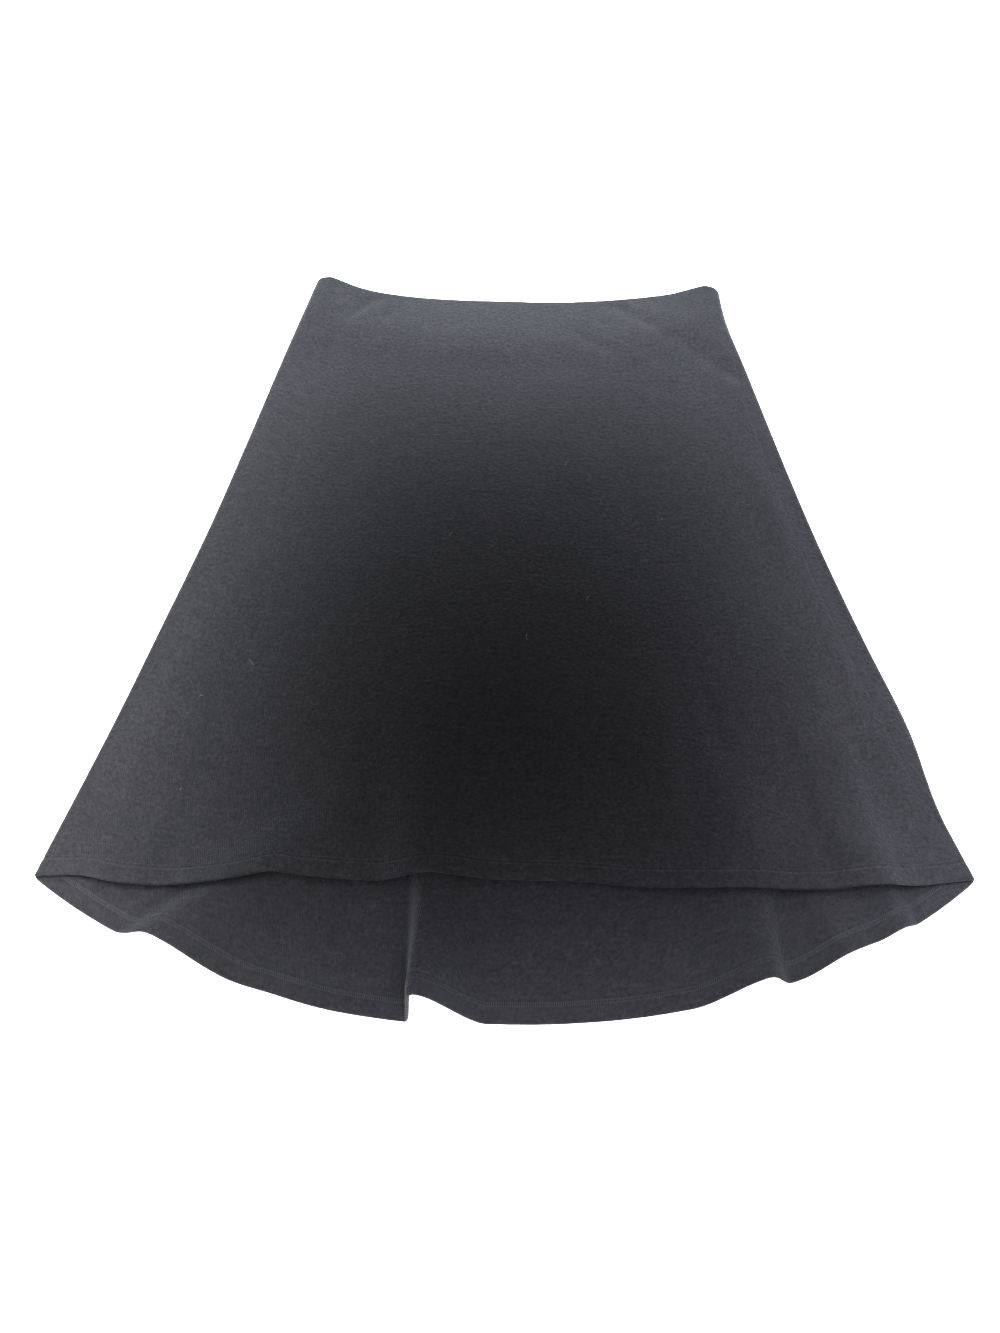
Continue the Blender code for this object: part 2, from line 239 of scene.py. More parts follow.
class SkirtSizes(bpy.types.PropertyGroup):
    cloth: bpy.props.FloatProperty(
        name="Cloth", description="Thickness of the double-knit jersey", default=0.0015, unit="LENGTH"
    )
    hem: bpy.props.FloatProperty(
        name="Hem", description="Thickness of the turned-up hem", default=0.0024, unit="LENGTH"
    )
    band: bpy.props.FloatProperty(
        name="Waistband", description="Thickness of the waistband's elastic", default=0.0018, unit="LENGTH"
    )
    stitch: bpy.props.FloatProperty(
        name="Stitch", description="Length of one hem stitch", default=0.0031, unit="LENGTH"
    )
    needle_gap: bpy.props.FloatProperty(
        name="Needle gap",
        description="Distance between the hem's two stitch rows",
        default=0.0030,
        unit="LENGTH",
    )
    thread: bpy.props.FloatProperty(
        name="Thread", description="Thickness of the sewing thread", default=0.00034, unit="LENGTH"
    )
    wale: bpy.props.FloatProperty(
        name="Wale", description="Width of one drawn column of knit loops", default=0.0013, unit="LENGTH"
    )
    creasing: bpy.props.FloatProperty(
        name="Creasing", description="How deep the creases are", default=1.0, subtype="FACTOR"
    )


class SkirtColours(bpy.types.PropertyGroup):
    jersey: bpy.props.FloatVectorProperty(
        name="Jersey", description="The knitted cloth", subtype="COLOR", default=linear("1e1e21")
    )
    nap: bpy.props.FloatVectorProperty(
        name="Nap",
        description="Light caught by the cloth's fibre ends",
        subtype="COLOR",
        default=linear("acb2bd"),
    )
    elastic: bpy.props.FloatVectorProperty(
        name="Elastic",
        description="The waistband's covered elastic",
        subtype="COLOR",
        default=linear("17181b"),
    )
    thread: bpy.props.FloatVectorProperty(
        name="Thread", description="The sewing thread", subtype="COLOR", default=linear("202227")
    )
    lint: bpy.props.FloatVectorProperty(
        name="Lint", description="The stray fibres on the front", subtype="COLOR", default=linear("8f8e8b")
    )
    paper: bpy.props.FloatVectorProperty(
        name="Paper", description="The white paper under the skirt", subtype="COLOR", default=linear("f7f8fa")
    )


def smooth(share):
    """An even rise from 0 to 1 as the share goes from 0 to 1."""
    share = np.clip(share, 0.0, 1.0)
    return share * share * (3.0 - 2.0 * share)


def side_size(name, down):
    """One column of the outline's table, on a smooth curve, carried on straight past its ends."""
    places = np.array([row.down for row in SIDES])
    values = np.array([getattr(row, name) for row in SIDES])
    slopes = np.gradient(values, places)
    row = np.clip(np.searchsorted(places, down) - 1, 0, len(places) - 2)
    step = places[row + 1] - places[row]
    share = (down - places[row]) / step
    inside = np.clip(share, 0.0, 1.0)
    leave = inside * (1.0 - inside) ** 2 * slopes[row]
    arrive = inside**2 * (inside - 1.0) * slopes[row + 1]
    curve = values[row] + smooth(inside) * (values[row + 1] - values[row]) + step * (leave + arrive)
    return curve + (share - inside) * step * np.where(share > 1.0, slopes[row + 1], slopes[row])


def half_width(side, down):
    """Distance from the centre line to a side fold."""
    return side_size("left" if side == LEFT else "right", down)


def across_at(x, down):
    """How far across a place lies: -1 at the left side fold, 0 at the centre line, 1 at the right."""
    edge = np.where(x < 0.0, half_width(LEFT, down), half_width(RIGHT, down))
    return np.clip(x / edge, -1.0, 1.0)


def waist_down(across):
    """The waist edge."""
    side = np.where(across < 0.0, LEFT_WAIST_DOWN, RIGHT_WAIST_DOWN)
    curve = np.where(across < 0.0, LEFT_WAIST_CURVE, RIGHT_WAIST_CURVE)
    rounding = np.where(across < 0.0, LEFT_CORNER_ROUNDING, RIGHT_CORNER_ROUNDING)
    inner = np.minimum(np.abs(across) / WAIST_CORNER, 1.0)
    return WAIST_DOWN - (WAIST_DOWN - side) * inner**curve + rounding * np.abs(across) ** CORNER_CURVE


def dipped(dips, across):
    """How far a hem's dips carry it below its plain line."""
    return sum(dip.depth * smooth(1.0 - ((across - dip.across) / dip.half_width) ** 2) for dip in dips)


def back_hem_down(across):
    """The back hem, before its folds stand up."""
    side = np.where(across < 0.0, LEFT_SIDE_DOWN, RIGHT_SIDE_DOWN)
    curve = np.where(across < 0.0, LEFT_BACK_HEM_CURVE, RIGHT_BACK_HEM_CURVE)
    return BACK_HEM_DOWN - (BACK_HEM_DOWN - side) * np.abs(across) ** curve + dipped(BACK_HEM_DIPS, across)


def front_hem_down(across):
    """The front hem."""
    left = (LEFT_SIDE_DOWN - FRONT_HEM_DOWN) * np.abs(across) ** LEFT_FRONT_HEM_CURVE
    right = (RIGHT_SIDE_DOWN - FRONT_HEM_DOWN) * np.abs(across) ** RIGHT_FRONT_HEM_CURVE
    return FRONT_HEM_DOWN + np.where(across < 0.0, left, right) + dipped(FRONT_HEM_DIPS, across)


def fold_shape(fold, x, down, ease=0.0, reach=0.0):
    """A fold's crest height level with a place, and the share of it that the place has. ease widens the
    fold and reach lengthens it."""
    run_x, run_down = fold.top_x - fold.hem_x, fold.top_down - fold.hem_down
    length = math.hypot(run_x, run_down)
    along = ((x - fold.hem_x) * run_x + (down - fold.hem_down) * run_down) / length
    beside = ((x - fold.hem_x) * -run_down + (down - fold.hem_down) * run_x) / length
    crossing = (FRONT_HEM_DOWN - fold.hem_down) / run_down * length
    height = np.where(
        along < crossing,
        fold.height + (fold.under - fold.height) * smooth(along / crossing),
        fold.under * (1.0 - smooth((along - crossing) / (length + reach - crossing))),
    )
    half = np.where(beside < 0.0, fold.left, fold.right) + ease
    share = np.where(np.abs(beside) < half, 0.5 + 0.5 * np.cos(math.pi * beside / half), 0.0)
    return height, share


def folded(x, down):
    """Where the back panel's outer face lies once its folds stand up: x, down and height."""
    across, up, height = np.zeros_like(x), np.zeros_like(x), np.zeros_like(x)
    for fold in FOLDS:
        crest, share = fold_shape(fold, x, down)
        grown = crest / fold.height
        across -= fold.lean * grown * share
        up += fold.pull * grown**2 * share
        height += crest * share
    return x + across, down - up, height


def creased(creases, x, down):
    """How far a list of creases raises or sinks the cloth."""
    raised = np.zeros_like(x)
    for crease in creases:
        run_x, run_down = crease.x1 - crease.x0, crease.down1 - crease.down0
        length = math.hypot(run_x, run_down)
        along = ((x - crease.x0) * run_x + (down - crease.down0) * run_down) / length**2
        beside = ((x - crease.x0) * -run_down + (down - crease.down0) * run_x) / length
        beside = beside - 4.0 * crease.bow * np.clip(along, 0.0, 1.0) * (1.0 - np.clip(along, 0.0, 1.0))
        ends = smooth((along + 0.12) / 0.38) * smooth((1.12 - along) / 0.38)
        raised += crease.height * ends * np.exp(-((beside / crease.width) ** 2))
    return raised


def front_level(x, down):
    """Height of the front panel's plain outer face above the floor, beside its side folds too."""
    edge = np.where(x < 0.0, half_width(LEFT, down), half_width(RIGHT, down))
    across = across_at(x, down)
    plain, banded = 2 * FRAME_CLOTH + FRAME_GAP, 2 * FRAME_CLOTH + 2 * FRAME_BAND + 3 * FRAME_GAP
    level = banded + (plain - banded) * smooth((down - waist_down(across) - BAND_DEPTH) / BAND_STEP)
    level = level + HEM_LIFT * (1.0 - smooth((front_hem_down(across) - down) / HEM_LIFT_REACH))
    for fold in FOLDS:
        ease = COVER_EASE + 0.5 * abs(fold.lean)
        crest, share = fold_shape(fold, x + 0.5 * fold.lean, down, ease, COVER_REACH)
        level = level + (crest + COVER_LIFT * smooth(crest / COVER_LIFT_HEIGHT)) * share
    for wave in WAVES:
        run = (down - wave.top_down) / (FRONT_HEM_DOWN - wave.top_down)
        centre = wave.top_x + (wave.hem_x - wave.top_x) * run
        level = level + wave.height * smooth(run) * smooth(1.0 - ((x - centre) / wave.half_width) ** 2)
    turn = side_size("turn", down)
    beside = smooth((edge - turn - np.abs(x)) / SIDE_SWELL)
    return level + (2 * turn - level) * (1.0 - beside), beside


def uneven(x, down, size, seed):
    """A smooth random height from -1 to 1 whose waves are about one size across."""
    places = zip((x / size).ravel(), (down / size).ravel())
    return np.array([noise.noise(Vector((a, b, seed))) for a, b in places]).reshape(np.shape(x))


def front_height(x, down, creasing):
    """Height of the front panel's outer face with its creases and unevenness."""
    level, beside = front_level(x, down)
    broad = BROAD_WAVE_HEIGHT * (0.5 + uneven(x, down, BROAD_WAVE, NOISE_SEED))
    small = SMALL_WAVE_HEIGHT * uneven(x, down, SMALL_WAVE, NOISE_SEED + 1.0)
    return level + beside * (broad + small) + creasing * creased(FRONT_CREASES, x, down)


def round_side(side, down, run, creasing):
    """The outer face a run round the side fold from the floor: x and height."""
    edge, turn = half_width(side, down), side_size("turn", down)
    angle = np.clip(run / turn, 0.0, math.pi)
    past = np.maximum(run - math.pi * turn, 0.0)
    x = side * (edge - turn + turn * np.sin(angle) - past)
    return x, np.where(past > 0.0, front_height(x, down, creasing), turn * (1.0 - np.cos(angle)))


def seam_run(side, down):
    """The run round the side fold from the floor to the side seam."""
    quarter = math.pi * side_size("turn", down) / 2
    return quarter + (side_size("roll", down) if side == RIGHT else 0.0)


def middle_x(place, down, margin):
    """x of a column in the middle of a panel, between margins beside its side folds."""
    side = LEFT if place < 0.0 else RIGHT
    return place * (half_width(side, down) - side_size("turn", down) - margin)


def back_flat(column, down, creasing):
    """One column of the back panel's outer face, before its folds stand up: x and height."""
    if not column.side:
        return middle_x(column.place, down, 0.0), np.zeros_like(down)
    seam = seam_run(column.side, down) - SEAM_GAP / 2
    return round_side(column.side, down, column.place * seam, creasing)


def back_shaped(column, down, creasing):
    """One column of the back panel's outer face: x, down and height."""
    x, height = back_flat(column, down, creasing)
    if column.side:
        return x, down, height
    x_folded, down_folded, height = folded(x, down)
    return x_folded, down_folded, height + creasing * creased(BACK_CREASES, x_folded, down_folded)


def front_flat(column, down, creasing):
    """One column of the front panel's outer face: x and height."""
    if not column.side:
        x = middle_x(column.place, down, SIDE_SWELL)
        return x, front_height(x, down, creasing)
    seam = seam_run(column.side, down) + SEAM_GAP / 2
    inner = math.pi * side_size("turn", down) + SIDE_SWELL
    return round_side(column.side, down, seam + column.place * (inner - seam), creasing)


def front_shaped(column, down, creasing):
    """One column of the front panel's outer face: x, down and height."""
    x, height = front_flat(column, down, creasing)
    return x, down, height


def middle_places(step):
    """Places from -1 to 1, closer together over the deep fold."""
    widest = SIDES[-2].left
    deep = FOLDS[1]
    low, high = (deep.top_x - deep.left) / widest, (deep.hem_x + deep.right) / widest
    found = list(np.linspace(-1.0, 1.0, round(2 * widest / step) + 1))
    found = [place for place in found if not low <= place <= high]
    found += list(np.linspace(low, high, round((high - low) * widest / DEEP_FOLD_STEP) + 1))
    kept = [-1.0]
    for place in sorted(found):
        if place - kept[-1] > LEAST_STEP / widest and place < 1.0 - LEAST_STEP / widest:
            kept.append(place)
    return kept + [1.0]


def back_columns():
    """The back panel's columns from seam to seam, with one more past each seam."""
    crowded = [
        [1.0 - (step / steps) ** SIDE_CROWDING for step in range(steps)]
        for steps in (LEFT_TURN_STEPS, RIGHT_TURN_STEPS)
    ]
    left, right = [[2.0 - places[1], *places] for places in crowded]
    middle = [Column(0, place) for place in middle_places(BACK_STEP)]
    left, right = [Column(LEFT, place) for place in left], [Column(RIGHT, place) for place in reversed(right)]
    return left + middle + right


def front_columns():
    """The front panel's columns from seam to seam, with one more past each seam."""
    sides = [(step / SIDE_STEPS) ** SIDE_CROWDING for step in range(SIDE_STEPS)]
    sides = [-sides[1], *sides]
    middle = [Column(0, place) for place in middle_places(FRONT_STEP)]
    left, right = [Column(LEFT, place) for place in sides], [Column(RIGHT, place) for place in reversed(sides)]
    return left + middle + right


# The cloth of each cut piece as it shows: the rectangle it is cut from and its own area
Cut = namedtuple("Cut", "width length area")

# Rows of a panel: how many lie in the band, in the covered or plain part, and towards the hem, and the
# share of the cloth between band and hem that the middle rows take
Rows = namedtuple("Rows", "band plain late plain_share")
FRONT_ROWS = Rows(12, 90, 32, 0.78)
BACK_ROWS = Rows(12, 58, 44, 0.80)
HEM_ZONE = 0.024
HEM_ZONE_ROWS = 28
EDGE_TURNS = (82.0, 62.0, 40.0, 18.0)


def rows_down(rows, length, waist_radius, hem_radius):
    """Distances below the waist edge, closer together where an edge is rounded and in the hem."""
    last = length - HEM_ZONE
    late = BAND_DEPTH + rows.plain_share * (last - BAND_DEPTH)
    edge = np.array([1.0 - math.sin(math.radians(turn)) for turn in EDGE_TURNS])
    return np.concatenate(
        [
            waist_radius * edge,
            np.linspace(waist_radius, BAND_DEPTH, rows.band, endpoint=False),
            np.linspace(BAND_DEPTH, late, rows.plain, endpoint=False),
            np.linspace(late, last, rows.late, endpoint=False),
            np.linspace(last, length - hem_radius, HEM_ZONE_ROWS),
            length - hem_radius * edge[::-1],
        ]
    )


def panel_face(sizes, rows, columns, flat, shaped, hem_down, side_up):
    """A panel's outer face. side_up is 1 for the panel that lies underneath, whose inner side faces up,
    and -1 for the one on top."""
    points, from_waist, from_hem = [], [], []
    for column in columns:
        ends = []
        for edge_down, level in ((waist_down, 0.0), (hem_down, FRONT_HEM_DOWN)):
            level = np.array([level])
            for _ in range(END_TRIES):
                level = edge_down(across_at(flat(column, level, 0.0)[0], level))
            ends.append(level[0])
        length = ends[1] - ends[0]
        run = rows_down(rows, length, sizes.cloth / 2, sizes.hem / 2)
        x, down, height = shaped(column, ends[0] + run, sizes.creasing)
        points.append(np.stack([x - ORIGIN.x, ORIGIN.down - down, height], axis=-1))
        from_waist.append(run)
        from_hem.append(length - run)
    points = np.stack(points, axis=1)
    inward = side_up * np.cross(np.gradient(points, axis=0), np.gradient(points, axis=1))
    inward /= np.linalg.norm(inward, axis=2, keepdims=True)
    points, inward = points[:, 1:-1], inward[:, 1:-1]
    from_waist, from_hem = np.stack(from_waist, axis=1)[:, 1:-1], np.stack(from_hem, axis=1)[:, 1:-1]
    steps = np.linalg.norm(np.diff(points, axis=1), axis=2)
    across = np.concatenate([np.zeros((len(points), 1)), np.cumsum(steps, axis=1)], axis=1)
    from_seam = np.minimum(across, across[:, -1:] - across)
    groove = SEAM_GROOVE * (1.0 - np.clip(from_seam / SEAM_GROOVE_WIDTH, 0.0, 1.0)) ** 2
    points = points + groove[..., None] * inward
    flat_places = np.stack([across - across[:, -1:] / 2, from_waist], axis=-1)
    return Face(points, inward, flat_places, from_waist, from_hem)


def rounded(face, depth, waist_radius, hem_radius):
    """How far the two faces of a wall move in at its rounded waist and hem edges."""
    inset = np.zeros_like(depth)
    for distance, radius in ((face.from_waist, waist_radius), (face.from_hem, hem_radius)):
        share = np.clip(1.0 - distance / radius, 0.0, 1.0)
        inset = np.maximum(inset, (1.0 - np.sqrt(1.0 - share**2)) * depth / 2)
    return inset


def wall(name, outer, inner, flat_places, side_up, material):
    """A closed wall between two faces that have the same rows and columns of points."""
    rows, columns = outer.shape[:2]
    count = rows * columns
    place = np.arange(count).reshape(rows, columns)
    quads = np.stack([place[:-1, :-1], place[:-1, 1:], place[1:, 1:], place[1:, :-1]], axis=-1).reshape(-1, 4)
    ring = np.concatenate([place[0, :-1], place[:-1, -1], place[-1, :0:-1], place[:0:-1, 0]])
    after = np.roll(ring, -1)
    rim = np.stack([after, ring, ring + count, after + count], axis=-1)
    faces = np.concatenate([quads, quads[:, ::-1] + count, rim])
    if side_up < 0.0:
        faces = faces[:, ::-1]
    mesh = bpy.data.meshes.new(name)
    mesh.from_pydata(np.concatenate([outer.reshape(-1, 3), inner.reshape(-1, 3)]), [], faces.tolist())
    layer = mesh.uv_layers.new(name="cloth")
    both = np.concatenate([flat_places.reshape(-1, 2), flat_places.reshape(-1, 2)])
    corners = np.empty(len(mesh.loops), dtype=np.int32)
    mesh.loops.foreach_get("vertex_index", corners)
    layer.data.foreach_set("uv", both[corners].astype(np.float32).ravel())
    mesh.shade_smooth()
    mesh.materials.append(material)
    piece = bpy.data.objects.new(name, mesh)
    bpy.context.scene.collection.objects.link(piece)
    return piece


def hem_line(face, from_hem, depth):
    """Points along a panel at one distance from its hem, and the face's inward directions there. depth
    moves the line into the cloth."""
    points, inward = [], []
    for column in range(face.points.shape[1]):
        order = slice(None, None, -1)
        distances = face.from_hem[order, column]
        points.append([np.interp(from_hem, distances, face.points[order, column, axis]) for axis in range(3)])
        inward.append([np.interp(from_hem, distances, face.inward[order, column, axis]) for axis in range(3)])
    points, inward = np.array(points), np.array(inward)
    inward /= np.linalg.norm(inward, axis=1, keepdims=True)
    return points + depth * inward, inward


def along_line(line, runs):
    """Places at the given runs along a line of points."""
    steps = np.linalg.norm(np.diff(line[0], axis=0), axis=1)
    total = np.concatenate([[0.0], np.cumsum(steps)])
    places = np.stack([np.interp(runs, total, line[0][:, axis]) for axis in range(3)], axis=-1)
    inward = np.stack([np.interp(runs, total, line[1][:, axis]) for axis in range(3)], axis=-1)
    return places, inward / np.linalg.norm(inward, axis=1, keepdims=True)


def line_length(line):
    """Length of a line of points."""
    return float(np.linalg.norm(np.diff(line[0], axis=0), axis=1).sum())


THREAD_SIDES = 6
STITCH_SHARES = (0.0, 0.18, 0.5, 0.82, 1.0)
STITCH_SINKS = (1.1, 0.1, -0.35, 0.1, 1.1)
HEM_STITCH_UP = 0.0120
HEM_FURROW = 0.00045
HEM_FURROW_WIDTH = 0.0012
STITCH_COVER = 0.82
SEAM_MARGIN = 0.004


def tube(mesh, places, inward, radius):
    """Adds a round thread along a row of places to a bmesh."""
    ahead = np.gradient(places, axis=0)
    ahead /= np.linalg.norm(ahead, axis=1, keepdims=True)
    beside = np.cross(ahead, inward)
    beside /= np.linalg.norm(beside, axis=1, keepdims=True)
    above = np.cross(beside, ahead)
    rings = []
    turns = [2.0 * math.pi * step / THREAD_SIDES for step in range(THREAD_SIDES)]
    for place, side, top in zip(places, beside, above):
        ring = [place + radius * (math.cos(turn) * side + math.sin(turn) * top) for turn in turns]
        rings.append([mesh.verts.new(point) for point in ring])
    for near, far in zip(rings, rings[1:]):
        for step in range(THREAD_SIDES):
            after = (step + 1) % THREAD_SIDES
            mesh.faces.new((near[step], near[after], far[after], far[step]))
    mesh.faces.new(rings[0][::-1])
    mesh.faces.new(rings[-1])


def thread_piece(name, mesh, material):
    """Makes an object of a bmesh of threads."""
    bmesh.ops.recalc_face_normals(mesh, faces=mesh.faces)
    data = bpy.data.meshes.new(name)
    mesh.to_mesh(data)
    mesh.free()
    data.shade_smooth()
    data.materials.append(material)
    piece = bpy.data.objects.new(name, data)
    bpy.context.scene.collection.objects.link(piece)
    return piece


def stitch_rows(name, face, sizes, material):
    """The two rows of straight stitches that show on the outside of a hem."""
    mesh = bmesh.new()
    for up in (HEM_STITCH_UP, HEM_STITCH_UP + sizes.needle_gap):
        line = hem_line(face, up, 0.0)
        count = int((line_length(line) - 2 * SEAM_MARGIN) / sizes.stitch)
        for number in range(count):
            start = SEAM_MARGIN + number * sizes.stitch
            runs = start + sizes.stitch * STITCH_COVER * np.array(STITCH_SHARES)
            places, inward = along_line(line, runs)
            sunk = places + np.array(STITCH_SINKS)[:, None] * sizes.thread * inward
            tube(mesh, sunk, inward, sizes.thread / 2)
    return thread_piece(name, mesh, material)


LADDER_STEPS = ((0.00, 0.0), (0.32, 0.0), (0.46, 1.0), (0.78, 1.0), (0.92, 0.0))


def ladder(name, face, sizes, material):
    """The looper thread of a coverstitch, which crosses between the two rows on the inside of a hem."""
    mesh = bmesh.new()
    low = hem_line(face, HEM_STITCH_UP, sizes.hem)
    high = hem_line(face, HEM_STITCH_UP + sizes.needle_gap, sizes.hem)
    total = line_length(low) - 2 * SEAM_MARGIN
    count = int(total / sizes.stitch)
    for shift in (0.0, 0.5):
        steps = [(number + shift + run, share) for number in range(count - 1) for run, share in LADDER_STEPS]
        runs = SEAM_MARGIN + sizes.stitch * np.array([run for run, _ in steps])
        shares = np.array([share for _, share in steps])[:, None]
        near, inward = along_line(low, runs)
        far, _ = along_line(high, runs * line_length(high) / line_length(low))
        places = near + shares * (far - near) + (0.15 + 0.5 * shift) * sizes.thread * inward
        tube(mesh, places, inward, sizes.thread / 2)
    return thread_piece(name, mesh, material)


def add_node(tree, kind, values=(), **settings):
    """Adds a node with its settings, and sets or links its inputs."""
    made = tree.nodes.new(kind)
    for name, value in settings.items():
        setattr(made, name, value)
    for socket, value in values:
        if isinstance(value, bpy.types.NodeSocket):
            tree.links.new(value, made.inputs[socket])
        else:
            made.inputs[socket].default_value = value
    return made


def new_material(name):
    """A material with an empty tree, its shader and its output."""
    material = bpy.data.materials.new(name)
    material.use_nodes = True
    tree = material.node_tree
    tree.nodes.clear()
    shader = add_node(tree, "ShaderNodeBsdfPrincipled")
    add_node(tree, "ShaderNodeOutputMaterial", [("Surface", shader.outputs[0])])
    return material, tree, shader


def knit_height(tree, place, wale):
    """Loops of a fine double knit: columns of loops with a softer swell for each course."""
    split = add_node(tree, "ShaderNodeSeparateXYZ", [(0, place)])
    turns = 2.0 * math.pi / wale
    across = add_node(tree, "ShaderNodeMath", [(0, split.outputs[0]), (1, turns)], operation="MULTIPLY")
    down = add_node(tree, "ShaderNodeMath", [(0, split.outputs[1]), (1, turns * 1.25)], operation="MULTIPLY")
    wales = add_node(tree, "ShaderNodeMath", [(0, across.outputs[0])], operation="COSINE")
    slant = add_node(tree, "ShaderNodeMath", [(0, wales.outputs[0]), (1, 1.4)], operation="MULTIPLY")
    phase = add_node(tree, "ShaderNodeMath", [(0, down.outputs[0]), (1, slant.outputs[0])], operation="ADD")
    courses = add_node(tree, "ShaderNodeMath", [(0, phase.outputs[0])], operation="COSINE")
    softer = add_node(tree, "ShaderNodeMath", [(0, courses.outputs[0]), (1, 0.55)], operation="MULTIPLY")
    loops = add_node(tree, "ShaderNodeMath", [(0, wales.outputs[0]), (1, softer.outputs[0])], operation="ADD")
    return loops.outputs[0]


def noise_at(tree, place, size, detail, roughness=0.5):
    """Noise whose grains are about one size across."""
    values = [("Vector", place), ("Scale", 1.0 / size), ("Detail", detail), ("Roughness", roughness)]
    return add_node(tree, "ShaderNodeTexNoise", values).outputs["Fac"]


def between(tree, value, low, high):
    """Spreads a noise's middle range over low to high."""
    values = [("Value", value), ("From Min", 0.3), ("From Max", 0.7), ("To Min", low), ("To Max", high)]
    return add_node(tree, "ShaderNodeMapRange", values).outputs[0]


def double_knit_jersey(sizes, colours):
    """Ponte: a dense double-knit viscose jersey, piece-dyed black and slightly brushed. It gives the eye
    a matt, mottled near-black that turns to bluish grey where light skims its fibre ends."""
    material, tree, shader = new_material("double_knit_jersey")
    place = add_node(tree, "ShaderNodeUVMap", uv_map="cloth").outputs[0]
    # A real wale is 0.9 mm wide, drawn a little coarser so that it can be seen
    loops = knit_height(tree, place, sizes.wale)
    flecks = noise_at(tree, place, 0.0030, 3.0, 0.72)
    mottle = noise_at(tree, place, 0.009, 3.0)
    wear = noise_at(tree, place, 0.075, 2.0)
    shade = add_node(
        tree,
        "ShaderNodeMath",
        [(0, between(tree, flecks, 0.35, 1.75)), (1, between(tree, mottle, 0.82, 1.20))],
        operation="MULTIPLY",
    )
    shade = add_node(
        tree,
        "ShaderNodeMath",
        [(0, shade.outputs[0]), (1, between(tree, wear, 0.93, 1.08))],
        operation="MULTIPLY",
    )
    rib = add_node(
        tree,
        "ShaderNodeMapRange",
        [("Value", loops), ("From Min", -1.5), ("From Max", 1.5), ("To Min", 0.90), ("To Max", 1.10)],
    )
    shades = [(0, shade.outputs[0]), (1, rib.outputs[0])]
    shade = add_node(tree, "ShaderNodeMath", shades, operation="MULTIPLY").outputs[0]
    dye = add_node(tree, "ShaderNodeVectorMath", [(0, colours.jersey), ("Scale", shade)], operation="SCALE")
    tree.links.new(dye.outputs[0], shader.inputs["Base Color"])
    soft_loops = add_node(tree, "ShaderNodeMath", [(0, loops), (1, 0.35)], operation="MULTIPLY")
    grain = add_node(
        tree,
        "ShaderNodeMath",
        [(0, flecks), (1, 5.0), (2, soft_loops.outputs[0])],
        operation="MULTIPLY_ADD",
    )
    bump = add_node(
        tree,
        "ShaderNodeBump",
        [("Strength", 0.8), ("Distance", 0.00035), ("Height", grain.outputs[0])],
    )
    tree.links.new(bump.outputs[0], shader.inputs["Normal"])
    shader.inputs["Roughness"].default_value = 0.78
    shader.inputs["Specular IOR Level"].default_value = 0.20
    shader.inputs["Sheen Weight"].default_value = 0.30
    shader.inputs["Sheen Roughness"].default_value = 0.42
    shader.inputs["Sheen Tint"].default_value = (*colours.nap, 1.0)
    return material


def covered_elastic(sizes, colours):
    """Woven elastic covered in the skirt's jersey. It gives the eye fine lengthwise ribs, smoother and
    closer than the knit."""
    material, tree, shader = new_material("covered_elastic")
    place = add_node(tree, "ShaderNodeUVMap", uv_map="cloth").outputs[0]
    split = add_node(tree, "ShaderNodeSeparateXYZ", [(0, place)])
    turns = 2.0 * math.pi / (1.6 * sizes.wale)
    down = add_node(tree, "ShaderNodeMath", [(0, split.outputs[1]), (1, turns)], operation="MULTIPLY")
    ribs = add_node(tree, "ShaderNodeMath", [(0, down.outputs[0])], operation="SINE")
    flecks = noise_at(tree, place, 0.0016, 3.0, 0.6)
    shade = between(tree, flecks, 0.8, 1.25)
    dye = add_node(tree, "ShaderNodeVectorMath", [(0, colours.elastic), ("Scale", shade)], operation="SCALE")
    tree.links.new(dye.outputs[0], shader.inputs["Base Color"])
    relief = [(0, flecks), (1, 1.2), (2, ribs.outputs[0])]
    height = add_node(tree, "ShaderNodeMath", relief, operation="MULTIPLY_ADD")
    bump = add_node(
        tree, "ShaderNodeBump", [("Strength", 0.6), ("Distance", 0.0002), ("Height", height.outputs[0])]
    )
    tree.links.new(bump.outputs[0], shader.inputs["Normal"])
    shader.inputs["Roughness"].default_value = 0.74
    shader.inputs["Sheen Weight"].default_value = 0.15
    shader.inputs["Sheen Tint"].default_value = (*colours.nap, 1.0)
    return material


def spun_thread(colours):
    """Textured polyester sewing thread, dyed to match. It gives the eye a slight gloss and a fine twist."""
    material, tree, shader = new_material("spun_thread")
    place = add_node(tree, "ShaderNodeTexCoord").outputs["Object"]
    twist = noise_at(tree, place, 0.0007, 2.0)
    shade = between(tree, twist, 0.75, 1.35)
    dye = add_node(tree, "ShaderNodeVectorMath", [(0, colours.thread), ("Scale", shade)], operation="SCALE")
    tree.links.new(dye.outputs[0], shader.inputs["Base Color"])
    bump = add_node(tree, "ShaderNodeBump", [("Strength", 0.5), ("Distance", 0.0001), ("Height", twist)])
    tree.links.new(bump.outputs[0], shader.inputs["Normal"])
    shader.inputs["Roughness"].default_value = 0.52
    return material


def loose_fibre(colours):
    """Stray cotton lint. It gives the eye a few pale specks, brighter where a fibre turns to the light."""
    material, tree, shader = new_material("loose_fibre")
    place = add_node(tree, "ShaderNodeTexCoord").outputs["Object"]
    shade = between(tree, noise_at(tree, place, 0.0015, 2.0), 0.55, 1.2)
    tint = add_node(tree, "ShaderNodeVectorMath", [(0, colours.lint), ("Scale", shade)], operation="SCALE")
    tree.links.new(tint.outputs[0], shader.inputs["Base Color"])
    shader.inputs["Roughness"].default_value = 0.8
    return material


